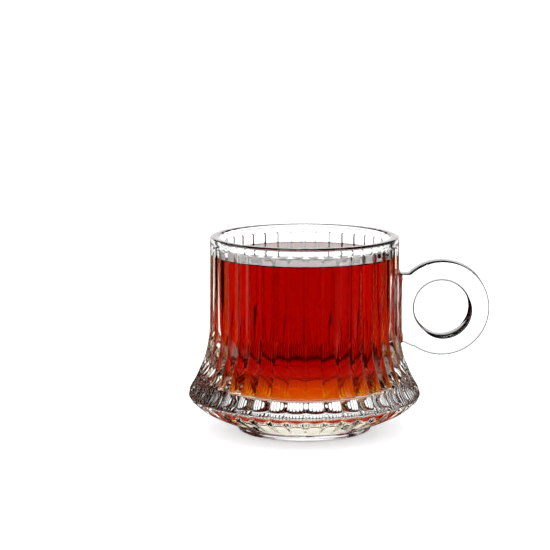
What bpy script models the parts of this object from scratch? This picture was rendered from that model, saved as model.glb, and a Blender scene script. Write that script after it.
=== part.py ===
"""A pressed glass tea cup with a flared foot and a ring handle, full of black tea.

Metres, +Z up. The origin is the middle of the flat underside, and the handle points along +X.
"""

import math

import bpy
import bmesh
from mathutils import Matrix

OBJECT_NAME = "tea_glass"

# The cup's outside: a nearly straight wall, a flare to the widest ring, and a flat foot.
HEIGHT = 0.0775
RIM_RADIUS = 0.0375
LIP_ROUNDING = 0.0012
WALL_END_RADIUS = 0.0377
WALL_END_HEIGHT = 0.0420
WIDEST_RADIUS = 0.0461
WIDEST_HEIGHT = 0.0150
FOOT_RADIUS = 0.0266
FOOT_HEIGHT = 0.0024
FOOT_ROUNDING = 0.0009

# Points (radius, height) between the wall's end and the widest ring, and from there to the foot.
FLARE = (
    (0.0380, 0.0385),
    (0.0388, 0.0330),
    (0.0399, 0.0285),
    (0.0411, 0.0255),
    (0.0424, 0.0225),
    (0.0438, 0.0195),
    (0.0453, 0.0170),
)
UNDERCUT = (
    (0.0457, 0.0129),
    (0.0434, 0.0107),
    (0.0410, 0.0087),
    (0.0370, 0.0066),
    (0.0324, 0.0045),
)

# The well that holds the tea, with a rounded corner between its wall and its floor.
WELL_RADIUS = 0.0340
WELL_TAPER_HEIGHT = 0.0440
WELL_FLOOR_HEIGHT = 0.0145
WELL_FLOOR_RADIUS = 0.0315
WELL_CORNER = 0.0040
CUTTER_RISE = 0.0040

# The flutes: panels with a groove between each two, below a plain lip. The grooves deepen where
# the wall flares, and run out towards the foot. Their reach is a share of the flutes' spacing.
FLUTE_COUNT = 40
GROOVE_REACH = 0.31
WALL_GROOVE_DEPTH = 0.0005
FLARE_GROOVE_DEPTH = 0.0012
DEEPENING_START = 0.0460
DEEPENING_END = 0.0380
PLAIN_LIP = 0.0030
GROOVE_RUN_IN = 0.0008
GROOVE_RUN_OUT = 0.0090

# The ring handle stands in the plane through the cup's axis, on a short web.
RING_OUTER_RADIUS = 0.0189
RING_HOLE_RADIUS = 0.0109
RING_THICKNESS = 0.0085
RING_CENTRE_X = 0.0543
RING_CENTRE_HEIGHT = 0.0490
RING_EDGE_ROUNDING = 0.0015
WEB_REACH = 0.0400
WEB_HEIGHT = 0.0268
WEB_THICKNESS = 0.0080
WEB_ROUNDING = 0.0012

# The tea stands a little under the rim, with a small gap to the glass.
TEA_LEVEL = 0.0700
TEA_GAP = 0.0003

STATIONS = 3
WELL_STEPS = 80
RING_STEPS = 48
MERGE = 0.00001


def clear_scene():
    for thing in list(bpy.data.objects):
        bpy.data.objects.remove(thing, do_unlink=True)


def new_collection(name):
    made = bpy.data.collections.new(name)
    bpy.context.scene.collection.children.link(made)
    return made


def material(name, colour, roughness, transmission):
    made = bpy.data.materials.new(name)
    made.use_nodes = True
    shader = made.node_tree.nodes["Principled BSDF"]
    shader.inputs["Base Color"].default_value = (*colour, 1.0)
    shader.inputs["Roughness"].default_value = roughness
    shader.inputs["Metallic"].default_value = 0.0
    shader.inputs["Transmission Weight"].default_value = transmission
    return made


def arc(centre, radius, start, end, count):
    """Points (x, z) on an arc, with its angles in degrees from +X."""
    turns = [math.radians(start + (end - start) * i / count) for i in range(count + 1)]
    return [(centre[0] + radius * math.cos(t), centre[1] + radius * math.sin(t)) for t in turns]


def bend(start, pull, end, count):
    """Points after start, on a curve that leaves start towards pull and reaches end from it."""
    found = []
    for i in range(1, count + 1):
        t = i / count
        a, b, c = (1 - t) ** 2, 2 * t * (1 - t), t * t
        found.append(tuple(a * s + b * p + c * e for s, p, e in zip(start, pull, end)))
    return found


def outside_profile():
    """The cup's outer side from the middle of its top down to the middle of its underside."""
    lip = (RIM_RADIUS - LIP_ROUNDING, HEIGHT - LIP_ROUNDING)
    lip_end = HEIGHT - PLAIN_LIP
    foot = (FOOT_RADIUS - FOOT_ROUNDING, FOOT_ROUNDING)
    points = [(0.0, HEIGHT), (lip[0], HEIGHT)]
    points += arc(lip, LIP_ROUNDING, 45, 0, 1)
    points += [(RIM_RADIUS, lip_end), (RIM_RADIUS, lip_end - GROOVE_RUN_IN)]
    points += [(WALL_END_RADIUS, DEEPENING_START), (WALL_END_RADIUS, WALL_END_HEIGHT), *FLARE]
    points += [(WIDEST_RADIUS, WIDEST_HEIGHT), *UNDERCUT]
    points += [(FOOT_RADIUS, FOOT_HEIGHT)]
    points += arc(foot, FOOT_ROUNDING, 0, -90, 2)
    return points + [(0.0, 0.0)]


def well_wall(inset):
    """The lower part of the well's wall and its floor, held in by inset, from the top down."""
    corner = (WELL_FLOOR_RADIUS - inset, WELL_FLOOR_HEIGHT + inset)
    slope = (WELL_RADIUS - WELL_FLOOR_RADIUS) / (WELL_TAPER_HEIGHT - WELL_FLOOR_HEIGHT)
    above = (corner[0] + slope * WELL_CORNER, corner[1] + WELL_CORNER)
    points = [(WELL_RADIUS - inset, WELL_TAPER_HEIGHT), above]
    points += bend(above, corner, (corner[0] - WELL_CORNER, corner[1]), 4)
    return points + [(0.0, corner[1])]


def well_profile():
    """The well with its rounded mouth, from above the rim down to the middle of its floor."""
    mouth = (WELL_RADIUS + LIP_ROUNDING, HEIGHT - LIP_ROUNDING)
    top = HEIGHT + CUTTER_RISE
    points = [(0.0, top), (mouth[0], top)]
    points += arc(mouth, LIP_ROUNDING, 90, 180, 3)
    return points + well_wall(0.0)


def tea_profile():
    return [(0.0, TEA_LEVEL), (WELL_RADIUS - TEA_GAP, TEA_LEVEL)] + well_wall(TEA_GAP)


def turned(name, profile, steps, collection, closed=False):
    """The profile (x, z) turned round the Z axis."""
    mesh = bpy.data.meshes.new(name)
    edges = [(i, i + 1) for i in range(len(profile) - 1)]
    if closed:
        edges.append((len(profile) - 1, 0))
    mesh.from_pydata([(x, 0.0, z) for x, z in profile], edges, [])
    made = bpy.data.objects.new(name, mesh)
    collection.objects.link(made)
    screw = made.modifiers.new("Turn", "SCREW")
    screw.axis = "Z"
    screw.steps = steps
    screw.render_steps = steps
    screw.use_merge_vertices = True
    screw.merge_threshold = MERGE
    apply_modifiers(made)
    return made


def apply_modifiers(target):
    bpy.context.view_layer.update()
    graph = bpy.context.evaluated_depsgraph_get()
    done = bpy.data.meshes.new_from_object(target.evaluated_get(graph))
    old = target.data
    target.modifiers.clear()
    target.data = done
    bpy.data.meshes.remove(old)
    done.name = target.name


def boolean(target, other, operation):
    """Joins or cuts target with other, which is then removed."""
    step = target.modifiers.new(operation.title(), "BOOLEAN")
    step.operation = operation
    step.solver = "EXACT"
    step.object = other
    apply_modifiers(target)
    bpy.data.objects.remove(other, do_unlink=True)


def share(value, start, end):
    """How far a value has come from start to end, between 0 and 1."""
    return min(1.0, max(0.0, (value - start) / (end - start)))


def groove_depth(height):
    """How deep the grooves are at a height: none on the lip and on the foot, most in the flare."""
    deeper = share(height, DEEPENING_START, DEEPENING_END)
    depth = WALL_GROOVE_DEPTH + (FLARE_GROOVE_DEPTH - WALL_GROOVE_DEPTH) * deeper
    depth *= share(height, HEIGHT - PLAIN_LIP, HEIGHT - PLAIN_LIP - GROOVE_RUN_IN)
    return depth * share(height, FOOT_HEIGHT, FOOT_HEIGHT + GROOVE_RUN_OUT)


def flute(point):
    """Moves a point of the round body to its place on a flute: groove bottom or panel edge."""
    radius = math.hypot(point.x, point.y)
    if radius < FOOT_RADIUS / 2:
        return
    pitch = 2 * math.pi / FLUTE_COUNT
    number = round(math.atan2(point.y, point.x) / pitch * STATIONS)
    place = (0.0, GROOVE_REACH, 1 - GROOVE_REACH)[number % STATIONS]
    turn = (number // STATIONS + place) * pitch
    if number % STATIONS == 0:
        radius -= groove_depth(point.z)
    point.x = radius * math.cos(turn)
    point.y = radius * math.sin(turn)


def make_ring(guides):
    """The handle's ring: a band with rounded edges, turned round the axis of its hole."""
    half = RING_THICKNESS / 2 - RING_EDGE_ROUNDING
    outer = RING_OUTER_RADIUS - RING_EDGE_ROUNDING
    inner = RING_HOLE_RADIUS + RING_EDGE_ROUNDING
    profile = arc((outer, half), RING_EDGE_ROUNDING, 90, 0, 2)
    profile += arc((outer, -half), RING_EDGE_ROUNDING, 0, -90, 2)
    profile += arc((inner, -half), RING_EDGE_ROUNDING, -90, -180, 2)
    profile += arc((inner, half), RING_EDGE_ROUNDING, -180, -270, 2)
    ring = turned("ring_handle", profile, RING_STEPS, guides, closed=True)
    ring.data.transform(Matrix.Rotation(math.pi / 2, 4, "X"))
    ring.data.transform(Matrix.Translation((RING_CENTRE_X, 0.0, RING_CENTRE_HEIGHT)))
    return ring


def make_web(guides):
    """The short web that carries the ring, sunk into the cup's wall."""
    start = (WELL_RADIUS + RIM_RADIUS) / 2
    made = bmesh.new()
    bmesh.ops.create_cube(made, size=1.0)
    size = Matrix.Diagonal((WEB_REACH - start, WEB_THICKNESS, WEB_HEIGHT, 1.0))
    place = Matrix.Translation(((WEB_REACH + start) / 2, 0.0, RING_CENTRE_HEIGHT))
    bmesh.ops.transform(made, matrix=place @ size, verts=made.verts)
    mesh = bpy.data.meshes.new("web")
    made.to_mesh(mesh)
    made.free()
    web = bpy.data.objects.new("web", mesh)
    guides.objects.link(web)
    bevel = web.modifiers.new("Rounding", "BEVEL")
    bevel.width = WEB_ROUNDING
    bevel.segments = 2
    apply_modifiers(web)
    return web


def make_cup(parts, guides):
    """The fluted body with its well cut out and its handle pressed on, all one glass."""
    cup = turned("glass_cup", outside_profile(), FLUTE_COUNT * STATIONS, parts)
    for vertex in cup.data.vertices:
        flute(vertex.co)
    boolean(cup, turned("well", well_profile(), WELL_STEPS, guides), "DIFFERENCE")
    ring = make_ring(guides)
    boolean(ring, make_web(guides), "UNION")
    boolean(cup, ring, "UNION")
    cup.data.shade_smooth()
    cup.data.set_sharp_from_angle(angle=math.radians(25))
    cup.data.materials.append(material("clear glass", (0.95, 0.97, 0.96), 0.02, 1.0))
    return cup


def make_tea(parts):
    """The tea up to its level, as a solid of its own."""
    tea = turned("tea", tea_profile(), WELL_STEPS, parts)
    tea.data.shade_smooth()
    tea.data.set_sharp_from_angle(angle=math.radians(40))
    tea.data.materials.append(material("black tea", (0.42, 0.03, 0.005), 0.02, 0.4))
    return tea


clear_scene()
parts_collection = new_collection(OBJECT_NAME)
guides_collection = new_collection("guides")
make_cup(parts_collection, guides_collection)
make_tea(parts_collection)
bpy.data.collections.remove(guides_collection)
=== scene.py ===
"""A pressed glass tea cup with upright flutes and a ring handle, full of black tea."""

import math

import bmesh
import bpy
import numpy as np
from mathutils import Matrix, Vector


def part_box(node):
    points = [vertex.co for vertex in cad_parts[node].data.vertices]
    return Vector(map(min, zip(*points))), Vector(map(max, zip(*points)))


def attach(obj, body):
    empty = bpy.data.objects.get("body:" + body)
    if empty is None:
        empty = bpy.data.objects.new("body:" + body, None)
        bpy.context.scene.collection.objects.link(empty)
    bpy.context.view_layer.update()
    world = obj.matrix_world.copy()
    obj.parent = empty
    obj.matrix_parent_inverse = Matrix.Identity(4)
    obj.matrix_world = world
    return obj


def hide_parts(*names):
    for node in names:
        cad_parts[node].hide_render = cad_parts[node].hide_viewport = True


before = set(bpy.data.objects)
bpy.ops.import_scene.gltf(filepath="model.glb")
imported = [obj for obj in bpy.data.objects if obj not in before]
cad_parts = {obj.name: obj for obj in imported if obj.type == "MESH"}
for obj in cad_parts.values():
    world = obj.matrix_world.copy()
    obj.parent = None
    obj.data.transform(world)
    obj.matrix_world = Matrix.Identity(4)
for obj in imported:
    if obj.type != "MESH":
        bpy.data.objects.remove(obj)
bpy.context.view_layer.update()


# The camera stands 95 cm from the cup and 13 cm above the height of its rim, square to the
# handle, so that the ring shows in full.
AIM = Vector((-0.0117, 0.0, 0.0617))
CAMERA_DISTANCE = 0.95
CAMERA_ELEVATION = math.radians(8.98)
SENSOR_MM = 36.0
LENS_MM = 156.9

camera_data = bpy.data.cameras.new("studio_camera")
camera_data.sensor_width = SENSOR_MM
camera_data.lens = LENS_MM
camera = bpy.data.objects.new("studio_camera", camera_data)
bpy.context.scene.collection.objects.link(camera)
away = Vector((0.0, -math.cos(CAMERA_ELEVATION), math.sin(CAMERA_ELEVATION)))
camera.location = AIM + CAMERA_DISTANCE * away
camera.rotation_euler = (math.pi / 2 - CAMERA_ELEVATION, 0.0, 0.0)
bpy.context.scene.camera = camera


# The body of the cup: soda-lime glass, pressed in one piece in a mould. Below its plain lip the
# mould leaves forty upright panels with a groove between each two. In the flare of the foot
# they swell to round reeds, and they run out again on the undercut above the flat base.
GLASS_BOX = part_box("glass_cup")
HEIGHT = GLASS_BOX[1].z
RIM_RADIUS = 0.0375
LIP_ROUNDING = 0.0012
WALL_END_RADIUS = 0.0377
WALL_END_HEIGHT = 0.0420
WIDEST_RADIUS = -GLASS_BOX[0].x
WIDEST_HEIGHT = 0.0150
FLARE = ((0.0380, 0.0385), (0.0388, 0.0330), (0.0399, 0.0285), (0.0411, 0.0255),
         (0.0424, 0.0225), (0.0438, 0.0195), (0.0453, 0.0170))
UNDERCUT = ((0.0457, 0.0129), (0.0434, 0.0107), (0.0410, 0.0087), (0.0370, 0.0066),
            (0.0324, 0.0045))
FOOT_RADIUS = 0.0266
FOOT_HEIGHT = 0.0024
FOOT_ROUNDING = 0.0009

WELL_RADIUS = 0.0340
WELL_TAPER_HEIGHT = 0.0440
WELL_FLOOR_HEIGHT = 0.0145
WELL_FLOOR_RADIUS = 0.0315
WELL_CORNER = 0.0040
FLOOR_MIDDLE = 0.0040
BEAD = 0.00045
BEAD_START = 0.0738
BEAD_END = 0.0765

FLUTE_COUNT = 40
PITCH = 2 * math.pi / FLUTE_COUNT
FLUTE_COLUMNS = 22
CREASE_CROWDING = 1.35
GROOVE_DEPTH = 0.0006
GROOVE_HALF_WIDTH = 0.0015
PANEL_CROWN = 0.0001
REED_DEPTH = 0.0012
REED_START = 0.0460
REED_FULL = 0.0380
PLAIN_LIP = 0.0030
LIP_RUN_OUT = 0.0008
FOOT_RUN_OUT = 0.0090
RUN_OUT_ROUNDING = 0.00003

ROUNDING_STEPS = 7
LIP_STEPS = 2
RUN_OUT_STEPS = 10
WALL_STEPS = 12
FLARE_STEPS = 4
FOOT_STEPS = 4
TAPER_STEPS = 8
CORNER_STEPS = 8
FLOOR_STEPS = 4
BEAD_STEPS = 11
TINY = 1e-6


def arc(centre, radius, start, end, count):
    """Points (x, z) on an arc, with its angles in degrees from +X."""
    turns = np.radians(np.linspace(start, end, count + 1))
    return [(centre[0] + radius * math.cos(t), centre[1] + radius * math.sin(t)) for t in turns]


def spline(points, steps):
    """A smooth curve through points, with so many steps between each two."""
    ends = [2 * np.array(points[0]) - points[1], *map(np.array, points),
            2 * np.array(points[-1]) - points[-2]]
    found = []
    for a, b, c, d in zip(ends, ends[1:], ends[2:], ends[3:]):
        for t in np.arange(steps) / steps:
            found.append(tuple(0.5 * (2 * b + (c - a) * t + (2 * a - 5 * b + 4 * c - d) * t ** 2
                                      + (3 * b - a - 3 * c + d) * t ** 3)))
    return found + [tuple(points[-1])]


def line(start, end, count):
    """Points from start to end, evenly spaced."""
    return [tuple(p) for p in np.linspace(start, end, count + 1)]


def eased_line(start, end):
    """Points from start to end, close together at the start, so that its bend stays there."""
    return [tuple(s + (e - s) * (k / WALL_STEPS) ** 3 for s, e in zip(start, end))
            for k in range(WALL_STEPS + 1)]


def without_repeats(points):
    """The points without any that lies on the one before it."""
    kept = points[:1]
    for point in points[1:]:
        if math.dist(point, kept[-1]) > TINY:
            kept.append(point)
    return kept


def outside_profile():
    """The cup's outer side, from the top of its lip down to the edge of its flat underside."""
    lip = (RIM_RADIUS - LIP_ROUNDING, HEIGHT - LIP_ROUNDING)
    lip_end = HEIGHT - PLAIN_LIP
    wall_top = (RIM_RADIUS, lip_end - LIP_RUN_OUT)
    foot = (FOOT_RADIUS - FOOT_ROUNDING, FOOT_ROUNDING)
    points = arc(lip, LIP_ROUNDING, 90, 0, ROUNDING_STEPS)
    points += line(points[-1], (RIM_RADIUS, lip_end), LIP_STEPS)
    points += line(points[-1], wall_top, RUN_OUT_STEPS)
    points += eased_line(wall_top, (WALL_END_RADIUS, WALL_END_HEIGHT))
    curve = [(WALL_END_RADIUS, WALL_END_HEIGHT), *FLARE, (WIDEST_RADIUS, WIDEST_HEIGHT),
             *UNDERCUT, (FOOT_RADIUS, FOOT_HEIGHT)]
    points += spline(curve, FLARE_STEPS)
    points += arc(foot, FOOT_ROUNDING, 0, -90, FOOT_STEPS)
    return without_repeats(points)


def well_profile(inset, top):
    """The well's wall and floor, held in by inset, from the height top to near the floor's middle."""
    corner = (WELL_FLOOR_RADIUS - inset, WELL_FLOOR_HEIGHT + inset)
    slope = (WELL_RADIUS - WELL_FLOOR_RADIUS) / (WELL_TAPER_HEIGHT - WELL_FLOOR_HEIGHT)
    above = (corner[0] + slope * WELL_CORNER, corner[1] + WELL_CORNER)
    below = (corner[0] - WELL_CORNER, corner[1])
    points = eased_line((WELL_RADIUS - inset, top), (WELL_RADIUS - inset, WELL_TAPER_HEIGHT))
    points += line(points[-1], above, TAPER_STEPS)
    for t in np.linspace(0, 1, CORNER_STEPS + 1):
        points.append(tuple((1 - t) ** 2 * a + 2 * t * (1 - t) * c + t * t * b
                            for a, c, b in zip(above, corner, below)))
    points += line(points[-1], (FLOOR_MIDDLE, corner[1]), FLOOR_STEPS)
    return without_repeats(points)


def mouth_profile():
    """The inside of the lip: a faint bead that thickens the wall, then the rounded edge."""
    bead = [(WELL_RADIUS - BEAD * smooth(s), BEAD_START + (BEAD_END - BEAD_START) * s)
            for s in np.linspace(0, 1, BEAD_STEPS + 1)]
    centre = (WELL_RADIUS - BEAD + LIP_ROUNDING, HEIGHT - LIP_ROUNDING)
    return bead + arc(centre, LIP_ROUNDING, 180, 90, ROUNDING_STEPS)


def flute_turns():
    """The angles of one flute's columns, from its left crease, close together at both creases."""
    half_count = FLUTE_COLUMNS // 2
    half = [PITCH / 2 * (k / half_count) ** CREASE_CROWDING for k in range(half_count + 1)]
    return half + [PITCH - t for t in half[-2:0:-1]]


def smooth(share):
    """A share eased in and out, between 0 and 1."""
    share = min(1.0, max(0.0, share))
    return share * share * (3 - 2 * share)


def fluted(radius, height, turn):
    """The radius of the wall at a height and an angle from a flute's left crease."""
    across = abs(2 * turn / PITCH - 1)
    flare = smooth((REED_START - height) / (REED_START - REED_FULL))
    from_crease = (1 - across) * PITCH / 2 * radius
    groove = GROOVE_DEPTH * (1 - smooth(from_crease / GROOVE_HALF_WIDTH))
    panel = groove + PANEL_CROWN * across ** 2
    reed = REED_DEPTH * across ** 2
    cut = panel + (reed - panel) * flare
    panel_depth = GROOVE_DEPTH + PANEL_CROWN
    depth = panel_depth + (REED_DEPTH - panel_depth) * flare
    lip_share = (height - (HEIGHT - PLAIN_LIP - LIP_RUN_OUT)) / LIP_RUN_OUT
    foot_share = 1 - (height - FOOT_HEIGHT) / FOOT_RUN_OUT
    cut -= depth * max(0.0, lip_share, foot_share)
    return radius - (cut + math.hypot(cut, RUN_OUT_ROUNDING)) / 2


def turned(profile, turns, shape=None):
    """Rings of points for a profile (x, z) turned round the Z axis, where shape alters each radius."""
    rings = []
    for radius, height in profile:
        ring = []
        for i, turn in enumerate(turns):
            r = shape(radius, height, i) if shape else radius
            ring.append((r * math.cos(turn), r * math.sin(turn), height))
        rings.append(ring)
    return rings


def closed_mesh(name, rings, caps):
    """A closed mesh through rings of points, with a single point beyond each end."""
    count = len(rings[0])
    points = [p for ring in rings for p in ring] + list(caps)
    first, last = len(points) - 2, len(points) - 1
    faces = []
    for row in range(len(rings) - 1):
        a, b = row * count, (row + 1) * count
        for i in range(count):
            j = (i + 1) % count
            faces.append((a + i, b + i, b + j, a + j))
    bottom = (len(rings) - 1) * count
    for i in range(count):
        j = (i + 1) % count
        faces.append((first, i, j))
        faces.append((last, bottom + j, bottom + i))
    return mesh_from(name, points, faces)


def mesh_from(name, points, faces):
    """A mesh from its points and faces."""
    mesh = bpy.data.meshes.new(name)
    mesh.from_pydata(points, [], faces)
    mesh.update()
    return mesh


def new_piece(mesh):
    """An object in the scene, named for its mesh."""
    made = bpy.data.objects.new(mesh.name, mesh)
    bpy.context.scene.collection.objects.link(made)
    return made


one_flute = flute_turns()
all_turns = [k * PITCH + t for k in range(FLUTE_COUNT) for t in one_flute]
outside = turned(outside_profile(), all_turns,
                 lambda r, z, i: fluted(r, z, one_flute[i % len(one_flute)]))
inside = turned(without_repeats(well_profile(0.0, BEAD_START)[::-1] + mouth_profile()), all_turns)
body = new_piece(closed_mesh("glass_cup_body", inside + outside,
                             ((0.0, 0.0, WELL_FLOOR_HEIGHT), (0.0, 0.0, 0.0))))


# The ring handle: pressed with the cup from the same glass, a thick flat ring with rounded edges
# that a short web joins to the wall. The Boolean union makes the cup one closed skin.
RING_CENTRE = (0.0543, 0.0490)
RING_OUTER_RADIUS = 0.0189
RING_HOLE_RADIUS = 0.0109
RING_HALF_THICKNESS = 0.00425
RING_OUTER_ROUNDING = 0.0014
RING_HOLE_ROUNDING = 0.0016
RING_CROWN = 0.0002
RING_STEPS = 240
RING_EDGE_STEPS = 6
RING_FACE_SHARES = np.linspace(0.12, 0.92, 8)
WEB_TOP = 0.0137
WEB_BOTTOM = 0.0154
WEB_ROOT = 0.0355
WEB_TANGENT = math.radians(245)
WALL_FILLET = 0.0012


def handle_outline(turn):
    """The handle's outer edge from the ring's centre, in a direction: ring, web and wall end."""
    across, up = math.cos(turn), math.sin(turn)
    root = RING_CENTRE[0] - WEB_ROOT
    if math.pi / 2 < turn < math.pi:
        return max(RING_OUTER_RADIUS, min(WEB_TOP / up, root / -across))
    if math.pi <= turn < WEB_TANGENT:
        tangent = RING_OUTER_RADIUS / math.cos(WEB_TANGENT - turn)
        below = min(tangent, WEB_BOTTOM / max(-up, TINY), root / -across)
        return max(RING_OUTER_RADIUS, below)
    return RING_OUTER_RADIUS


def handle_section(turn):
    """Points (reach, across) round the handle's section in a direction from the hole's middle."""
    inner, outer, half = RING_HOLE_RADIUS, handle_outline(turn), RING_HALF_THICKNESS
    edge, hole = RING_OUTER_ROUNDING, RING_HOLE_ROUNDING
    front = arc((inner + hole, -half + hole), hole, 180, 270, ROUNDING_STEPS)
    face_start, face_end = inner + hole, outer - edge
    front += [(face_start + (face_end - face_start) * s, -half) for s in RING_FACE_SHARES]
    front += arc((face_end, -half + edge), edge, 270, 360, RING_EDGE_STEPS)
    crowned = []
    for reach, side in front:
        share = (reach - inner) / (outer - inner)
        crowned.append((reach, side - RING_CROWN * 4 * share * (1 - share)))
    back = [(reach, -side) for reach, side in crowned[::-1]]
    return crowned + [(outer, 0.0)] + back + [(inner, 0.0)]


wall_heights, wall_radii = zip(*sorted((z, r) for r, z in outside_profile()))


def wall_radius(height):
    """The radius of the cup's wall at a height, without its flutes."""
    return float(np.interp(height, wall_heights, wall_radii))


def handle_mesh():
    """The ring and its web as one closed tube of sections round the hole, flared at the wall."""
    points, faces = [], []
    for k in range(RING_STEPS):
        turn = 2 * math.pi * k / RING_STEPS
        for reach, side in handle_section(turn):
            x = RING_CENTRE[0] + reach * math.cos(turn)
            rise = reach * math.sin(turn)
            gap = max(0.0, math.hypot(x, side) - wall_radius(RING_CENTRE[1] + rise))
            spread = 0.0
            if gap < WALL_FILLET:
                spread = WALL_FILLET - math.sqrt(WALL_FILLET ** 2 - (WALL_FILLET - gap) ** 2)
            y = side * (1 + spread / RING_HALF_THICKNESS)
            z = RING_CENTRE[1] + rise * (1 + spread / WEB_TOP)
            points.append((x, y, z))
    count = len(points) // RING_STEPS
    for k in range(RING_STEPS):
        a, b = k * count, (k + 1) % RING_STEPS * count
        for i in range(count):
            j = (i + 1) % count
            faces.append((a + i, a + j, b + j, b + i))
    return mesh_from("handle", points, faces)


handle = new_piece(handle_mesh())
join = body.modifiers.new("Handle", "BOOLEAN")
join.operation = "UNION"
join.solver = "MANIFOLD"
join.object = handle
bpy.context.view_layer.update()
graph = bpy.context.evaluated_depsgraph_get()
joined = bpy.data.meshes.new_from_object(body.evaluated_get(graph))
joined.name = "pressed_glass_cup"
bpy.data.objects.remove(handle, do_unlink=True)
bpy.data.objects.remove(body, do_unlink=True)
cup = new_piece(joined)
cup.data.shade_smooth()

# Pressed soda-lime glass, fire polished: clear and mirror smooth. The mould leaves waves of a few
# millimetres that make reflections swim a little, and iron in the glass a breath of grey-green.
GLASS_TINT = "#FDFEFD"
GLASS_CORD_TINT = "#F8FBF9"
GLASS_IOR = 1.52
WAVE_MM = 6.0
WAVE_HEIGHT = 0.000006


def srgb(code):
    """A hex colour as linear red, green, blue and alpha."""
    parts = [int(code[i:i + 2], 16) / 255 for i in (1, 3, 5)]
    return [p / 12.92 if p <= 0.04045 else ((p + 0.055) / 1.055) ** 2.4 for p in parts] + [1.0]


def add_node(tree, kind, settings=None, links=None):
    """Adds a node, gives its inputs and properties their values, and joins its inputs to outputs."""
    node = tree.nodes.new(kind)
    for name, value in (settings or {}).items():
        if isinstance(name, int) or name in node.inputs:
            node.inputs[name].default_value = value
        else:
            setattr(node, name, value)
    for name, output in (links or {}).items():
        tree.links.new(output, node.inputs[name])
    return node


glass = bpy.data.materials.new("pressed soda-lime glass")
glass.use_nodes = True
tree = glass.node_tree
shader = tree.nodes["Principled BSDF"]
shader.inputs["Roughness"].default_value = 0.0
shader.inputs["IOR"].default_value = GLASS_IOR
shader.inputs["Transmission Weight"].default_value = 1.0
place = add_node(tree, "ShaderNodeTexCoord")
waves = add_node(tree, "ShaderNodeTexNoise", {"Scale": 1000 / WAVE_MM, "Detail": 1.0},
                 {"Vector": place.outputs["Object"]})
tint = add_node(tree, "ShaderNodeMix",
                {"data_type": "RGBA", 6: srgb(GLASS_TINT), 7: srgb(GLASS_CORD_TINT)},
                {"Factor": waves.outputs["Fac"]})
swell = add_node(tree, "ShaderNodeBump", {"Strength": 1.0, "Distance": WAVE_HEIGHT},
                 {"Height": waves.outputs["Fac"]})
tree.links.new(tint.outputs[2], shader.inputs["Base Color"])
tree.links.new(swell.outputs["Normal"], shader.inputs["Normal"])

# The same glass where the tea wets it, down to the well's corner: the liquid takes away most of
# the mirror of a dry face, so the tea looks clear through the wall and not veiled.
WETTED_SHARE = 0.1

wetted = glass.copy()
wetted.name = "soda-lime glass wetted by tea"
shader = wetted.node_tree.nodes["Principled BSDF"]
shader.inputs["Specular Tint"].default_value = (WETTED_SHARE, WETTED_SHARE, WETTED_SHARE, 1.0)

# The same glass at the rounded edges of the ring and the top of the lip, with painted shade: a
# grey tint that follows the angle of view darkens these faces where they turn away from the
# eye, and so draws dark outlines along them.
PAINTED_EDGE_SHADE = "#404442"
PAINTED_SHADE_START = 0.08
PAINTED_SHADE_END = 0.40

glass_with_painted_edge_shade = glass.copy()
glass_with_painted_edge_shade.name = "soda-lime glass with painted edge shade"
tree = glass_with_painted_edge_shade.node_tree
shader = tree.nodes["Principled BSDF"]
facing = add_node(tree, "ShaderNodeLayerWeight", {"Blend": 0.5})
edge = add_node(tree, "ShaderNodeMapRange",
                {"interpolation_type": "SMOOTHSTEP", "From Min": PAINTED_SHADE_START, "From Max": PAINTED_SHADE_END},
                {"Value": facing.outputs["Facing"]})
clear = shader.inputs["Base Color"].links[0].from_socket
# Painted shade: the colour turns grey as the face turns away from the eye.
shade_painted_mix = add_node(tree, "ShaderNodeMix", {"data_type": "RGBA", 7: srgb(PAINTED_EDGE_SHADE)},
                  {"Factor": edge.outputs["Result"], 6: clear})
tree.links.new(shade_painted_mix.outputs[2], shader.inputs["Base Color"])

CORNER_TOP = WELL_FLOOR_HEIGHT + WELL_CORNER
TEA_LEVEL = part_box("tea")[1].z
FLAT_FACE_NORMAL = 0.95
LIP_TOP_NORMAL = 0.7
RING_BOTTOM = RING_CENTRE[1] - RING_OUTER_RADIUS - WALL_FILLET

glass_finishes = (glass, wetted, glass_with_painted_edge_shade)
cup.data.materials.clear()
for finish in glass_finishes:
    cup.data.materials.append(finish)
for face in cup.data.polygons:
    reach, height = face.center.xy.length, face.center.z
    if reach < WELL_RADIUS and CORNER_TOP < height < TEA_LEVEL:
        face.material_index = glass_finishes.index(wetted)
    on_handle = height > RING_BOTTOM and reach > wall_radius(height) + WALL_FILLET / 4
    on_ring_edge = on_handle and abs(face.normal.y) < FLAT_FACE_NORMAL
    on_lip_top = height > HEIGHT - LIP_ROUNDING and face.normal.z > LIP_TOP_NORMAL
    # The ring's rounded edges and the lip's top take the glass with painted edge shade.
    if on_ring_edge or on_lip_top:
        face.material_index = glass_finishes.index(glass_with_painted_edge_shade)
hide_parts("glass_cup")
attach(cup, "root")


# The tea: black tea, a clear red-brown liquid up to 7.5 mm under the rim. It wets the glass, so
# it fills the well with no gap, reaches just into the wall and climbs a little at its edge.
TEA_REACH = 0.00015
MENISCUS_HEIGHT = 0.0003
MENISCUS_WIDTH = 0.0035
TEA_COLUMNS = 240
FLAT_SHARE = 0.6
MENISCUS_STEPS = 8

surface = [(FLOOR_MIDDLE, TEA_LEVEL), (FLAT_SHARE * WELL_RADIUS, TEA_LEVEL)]
for s in np.linspace(0, 1, MENISCUS_STEPS + 1):
    surface.append((WELL_RADIUS - MENISCUS_WIDTH * (1 - s), TEA_LEVEL + MENISCUS_HEIGHT * s ** 4))
tea_sides = well_profile(-TEA_REACH, TEA_LEVEL + MENISCUS_HEIGHT)
tea_turns = [2 * math.pi * k / TEA_COLUMNS for k in range(TEA_COLUMNS)]
tea = new_piece(closed_mesh("black_tea", turned(surface + tea_sides, tea_turns),
                            ((0.0, 0.0, TEA_LEVEL), (0.0, 0.0, WELL_FLOOR_HEIGHT - TEA_REACH))))
tea.data.shade_smooth()

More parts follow.
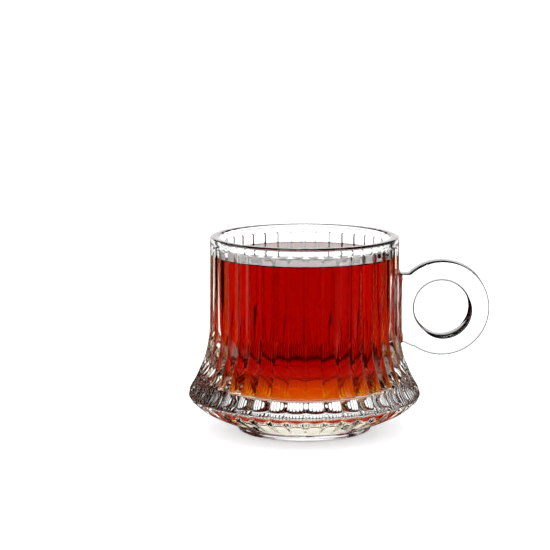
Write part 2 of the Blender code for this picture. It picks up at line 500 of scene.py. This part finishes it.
# Brewed black tea: water with tannins, so it bends light as water does and takes out blue and
# green much faster than red. Thin layers glow orange and the whole cup is a deep red-brown.
TEA_IOR = 1.333
TEA_ABSORPTION = (0.954, 0.71, 0.0, 1.0)
TEA_DENSITY = 425.0
TEA_CLEAR = "#FFFFFF"
TEA_CLOUD = "#FFF7F0"
CLOUD_MM = 15.0
RIPPLE_HEIGHT = 0.00001

brew = bpy.data.materials.new("brewed black tea")
brew.use_nodes = True
tree = brew.node_tree
shader = tree.nodes["Principled BSDF"]
shader.inputs["Roughness"].default_value = 0.0
shader.inputs["IOR"].default_value = TEA_IOR
shader.inputs["Transmission Weight"].default_value = 1.0
place = add_node(tree, "ShaderNodeTexCoord")
clouds = add_node(tree, "ShaderNodeTexNoise", {"Scale": 1000 / CLOUD_MM, "Detail": 1.0},
                  {"Vector": place.outputs["Object"]})
tint = add_node(tree, "ShaderNodeMix",
                {"data_type": "RGBA", 6: srgb(TEA_CLEAR), 7: srgb(TEA_CLOUD)},
                {"Factor": clouds.outputs["Fac"]})
ripple = add_node(tree, "ShaderNodeBump", {"Strength": 1.0, "Distance": RIPPLE_HEIGHT},
                  {"Height": clouds.outputs["Fac"]})
tree.links.new(tint.outputs[2], shader.inputs["Base Color"])
tree.links.new(ripple.outputs["Normal"], shader.inputs["Normal"])
depth = add_node(tree, "ShaderNodeVolumeAbsorption",
                 {"Color": TEA_ABSORPTION, "Density": TEA_DENSITY})
tree.links.new(depth.outputs["Volume"], tree.nodes["Material Output"].inputs["Volume"])

# The same tea where it lies against the glass: the contact hardly mirrors, so the eye sees
# straight into the colour of the tea at its sides and at its floor.
against_glass = brew.copy()
against_glass.name = "brewed black tea against glass"
shader = against_glass.node_tree.nodes["Principled BSDF"]
shader.inputs["Specular Tint"].default_value = (WETTED_SHARE, WETTED_SHARE, WETTED_SHARE, 1.0)

tea_finishes = (brew, against_glass)
for finish in tea_finishes:
    tea.data.materials.append(finish)
for face in tea.data.polygons:
    if face.center.z < TEA_LEVEL:
        face.material_index = tea_finishes.index(against_glass)
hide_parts("tea")
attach(tea, "root")


# The floor: a wide board in matt white wall paint, put on with a roller, which leaves a fine
# orange peel, drawn coarser than real. It also glows by itself, as if lit from below, which
# keeps shadows pale.
FLOOR_WIDTH = 24.0
FLOOR_DROP = 0.0002
PAINT_COLOUR = "#F8F8F8"
PAINT_SHADE = "#F4F4F4"
PAINT_ROUGHNESS = 0.8
PEEL_MM = 8.0
PEEL_HEIGHT = 0.0001
PEEL_STRENGTH = 0.2
FLOOR_GLOW = 0.5


def flat_sheet(name, width, depth):
    """A flat rectangle round its own middle."""
    across, along = width / 2, depth / 2
    corners = [(-across, -along, 0), (across, -along, 0), (across, along, 0), (-across, along, 0)]
    return new_piece(mesh_from(name, corners, [(0, 1, 2, 3)]))


floor = flat_sheet("floor", FLOOR_WIDTH, FLOOR_WIDTH)
floor.location.z = -FLOOR_DROP
paint = bpy.data.materials.new("matt white wall paint")
paint.use_nodes = True
tree = paint.node_tree
shader = tree.nodes["Principled BSDF"]
shader.inputs["Roughness"].default_value = PAINT_ROUGHNESS
shader.inputs["Emission Color"].default_value = (1.0, 1.0, 1.0, 1.0)
shader.inputs["Emission Strength"].default_value = FLOOR_GLOW
place = add_node(tree, "ShaderNodeTexCoord")
peel = add_node(tree, "ShaderNodeTexNoise", {"Scale": 1000 / PEEL_MM, "Detail": 2.0},
                {"Vector": place.outputs["Object"]})
tint = add_node(tree, "ShaderNodeMix",
                {"data_type": "RGBA", 6: srgb(PAINT_COLOUR), 7: srgb(PAINT_SHADE)},
                {"Factor": peel.outputs["Fac"]})
relief = add_node(tree, "ShaderNodeBump", {"Strength": PEEL_STRENGTH, "Distance": PEEL_HEIGHT},
                  {"Height": peel.outputs["Fac"]})
tree.links.new(tint.outputs[2], shader.inputs["Base Color"])
tree.links.new(relief.outputs["Normal"], shader.inputs["Normal"])
floor.data.materials.append(paint)
floor.visible_glossy = False


# The black cards: sheets of black wool felt that lie and stand in sectors round the cup, as in a
# studio for glass. Only mirrored and refracted light sees them, so they draw the glass's edges
# and creases dark. The felt's fibres are drawn far coarser than real.
CARD_SECTORS = ((-168, -52), (-38, 60), (120, 130), (140, 168))
CARD_NEAR = 0.045
CARD_FAR = 1.6
CARD_HEIGHT = 6.0
CARD_STEPS = 24
CARD_DROP = 0.0001
FELT_COLOUR = "#080808"
FELT_LIGHT = "#0B0B0B"
FIBRE_MM = 10.0

felt = bpy.data.materials.new("black wool felt")
felt.use_nodes = True
tree = felt.node_tree
shader = tree.nodes["Principled BSDF"]
shader.inputs["Roughness"].default_value = 1.0
shader.inputs["Specular IOR Level"].default_value = 0.0
place = add_node(tree, "ShaderNodeTexCoord")
fibres = add_node(tree, "ShaderNodeTexNoise", {"Scale": 1000 / FIBRE_MM},
                  {"Vector": place.outputs["Object"]})
tint = add_node(tree, "ShaderNodeMix",
                {"data_type": "RGBA", 6: srgb(FELT_COLOUR), 7: srgb(FELT_LIGHT)},
                {"Factor": fibres.outputs["Fac"]})
tree.links.new(tint.outputs[2], shader.inputs["Base Color"])


def black_card(name, start, end):
    """A sector of felt on the floor with a wall of it at its far edge."""
    points, faces = [], []
    for turn in np.radians(np.linspace(start, end, CARD_STEPS + 1)):
        across, along = math.cos(turn), math.sin(turn)
        points += [(across * CARD_NEAR, along * CARD_NEAR, 0.0),
                   (across * CARD_FAR, along * CARD_FAR, 0.0),
                   (across * CARD_FAR, along * CARD_FAR, CARD_HEIGHT)]
    for k in range(CARD_STEPS):
        a = 3 * k
        faces += [(a, a + 1, a + 4, a + 3), (a + 1, a + 2, a + 5, a + 4)]
    card = new_piece(mesh_from(name, points, faces))
    card.location.z = -CARD_DROP
    return card


def dress_stage(piece, finish):
    """Gives a studio piece its finish and leaves it, without a shadow, to mirrors and glass."""
    piece.data.materials.append(finish)
    piece.visible_camera = False
    piece.visible_diffuse = False
    piece.visible_shadow = False


for number, (start, end) in enumerate(CARD_SECTORS):
    dress_stage(black_card(f"black_card_{number}", start, end), felt)


# The dark room: felt curtains all round, which only reflections see, so that the lamps are the
# only light that the outside of the glass mirrors.
ROOM_RADIUS = 4.0
ROOM_COLUMNS = 48
ROOM_ROWS = 24

shape = bmesh.new()
bmesh.ops.create_uvsphere(shape, u_segments=ROOM_COLUMNS, v_segments=ROOM_ROWS,
                          radius=ROOM_RADIUS)
room_mesh = bpy.data.meshes.new("dark_room")
shape.to_mesh(room_mesh)
shape.free()
room = new_piece(room_mesh)
dress_stage(room, felt)
room.visible_transmission = False


# The lamps: two softboxes of white diffuser cloth that show as reflections. The one overhead
# gives the shine on the lip and the ring, and the one behind lights up the tea's surface.
CLOTH_COLOUR = "#FFFFFF"
CLOTH_SHADE = "#F4F4F4"
WEAVE_MM = 4.0
LAMP_TARGET = Vector((0.0, 0.0, 0.04))


def diffuser_cloth(strength):
    """White cloth lit from behind, a little uneven, its weave drawn coarser than real."""
    cloth = bpy.data.materials.new("white diffuser cloth")
    cloth.use_nodes = True
    tree = cloth.node_tree
    tree.nodes.clear()
    place = add_node(tree, "ShaderNodeTexCoord")
    weave = add_node(tree, "ShaderNodeTexNoise", {"Scale": 1000 / WEAVE_MM},
                     {"Vector": place.outputs["Object"]})
    tint = add_node(tree, "ShaderNodeMix",
                    {"data_type": "RGBA", 6: srgb(CLOTH_COLOUR), 7: srgb(CLOTH_SHADE)},
                    {"Factor": weave.outputs["Fac"]})
    glow = add_node(tree, "ShaderNodeEmission", {"Strength": strength}, {"Color": tint.outputs[2]})
    add_node(tree, "ShaderNodeOutputMaterial", links={"Surface": glow.outputs[0]})
    return cloth


def softbox(name, compass, elevation, distance, width, height, strength):
    """A glowing rectangle that faces the cup and only shows as a reflection."""
    turn, rise = math.radians(compass), math.radians(elevation)
    way = Vector((math.cos(turn) * math.cos(rise), math.sin(turn) * math.cos(rise),
                  math.sin(rise)))
    box = flat_sheet(name, width, height)
    box.location = LAMP_TARGET + distance * way
    box.rotation_mode = "QUATERNION"
    box.rotation_quaternion = way.to_track_quat("Z", "Y")
    dress_stage(box, diffuser_cloth(strength))
    box.visible_transmission = False


softbox("overhead_softbox", compass=250, elevation=75, distance=1.0,
        width=0.5, height=0.3, strength=6.0)
softbox("back_softbox", compass=90, elevation=10, distance=2.0,
        width=2.0, height=0.65, strength=1.5)


# The light: an even white from all sides, as from a light tent, with colours shown as they are.
# Light crosses many faces of the glass and the tea, so its paths are long ones.
LIGHT_STRENGTH = 1.35
CLEAR_BOUNCES = 32
MIRROR_BOUNCES = 16

world = bpy.data.worlds.new("light_tent")
world.use_nodes = True
bpy.context.scene.world = world
background = world.node_tree.nodes["Background"]
background.inputs["Color"].default_value = (1.0, 1.0, 1.0, 1.0)
background.inputs["Strength"].default_value = LIGHT_STRENGTH

scene = bpy.context.scene
scene.view_settings.view_transform = "Standard"
scene.cycles.max_bounces = CLEAR_BOUNCES
scene.cycles.transmission_bounces = CLEAR_BOUNCES
scene.cycles.glossy_bounces = MIRROR_BOUNCES
scene.cycles.use_denoising = True
